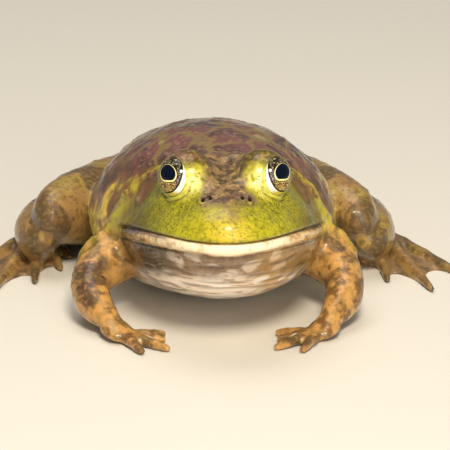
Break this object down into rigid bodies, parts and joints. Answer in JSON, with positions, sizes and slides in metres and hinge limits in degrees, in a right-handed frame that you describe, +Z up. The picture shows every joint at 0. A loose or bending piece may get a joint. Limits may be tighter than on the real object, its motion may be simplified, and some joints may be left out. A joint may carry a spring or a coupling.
{
  "type": "bullfrog",
  "caption": "Life-size still model of a sitting bullfrog with folded hind legs, webbed feet, wide mouth and raised eyes.",
  "frame": {"origin": "on the floor below the middle of the model's bounding box", "axes": "+Z up; the frog looks along -Y, and its own left side is at +X"},
  "size_m": [0.1522, 0.151, 0.0563],
  "materials": {
    "head_skin": "wet skin, green",
    "throat_skin": "wet skin, cream mottled brown",
    "back_skin": "wet skin, olive and brown blotches",
    "ear_skin": "thin taut skin",
    "arm_skin": "wet skin, golden brown",
    "leg_skin": "wet skin, tan with dark bars",
    "web_skin": "thin wet web",
    "eye": "wet, glossy, dark with gold"
  },
  "bodies": {
    "root": {"head": "head_skin", "lower_jaw": "throat_skin", "trunk": "back_skin", "eye_left": "eye", "tympanum_left": "ear_skin", "upper_arm_left": "arm_skin", "forearm_left": "arm_skin", "hand_left": "arm_skin", "thigh_left": "leg_skin", "shank_left": "leg_skin", "tarsus_left": "leg_skin", "foot_left": "web_skin", "eye_right": "eye", "tympanum_right": "ear_skin", "upper_arm_right": "arm_skin", "forearm_right": "arm_skin", "hand_right": "arm_skin", "thigh_right": "leg_skin", "shank_right": "leg_skin", "tarsus_right": "leg_skin", "foot_right": "web_skin"}
  },
  "joints": []
}
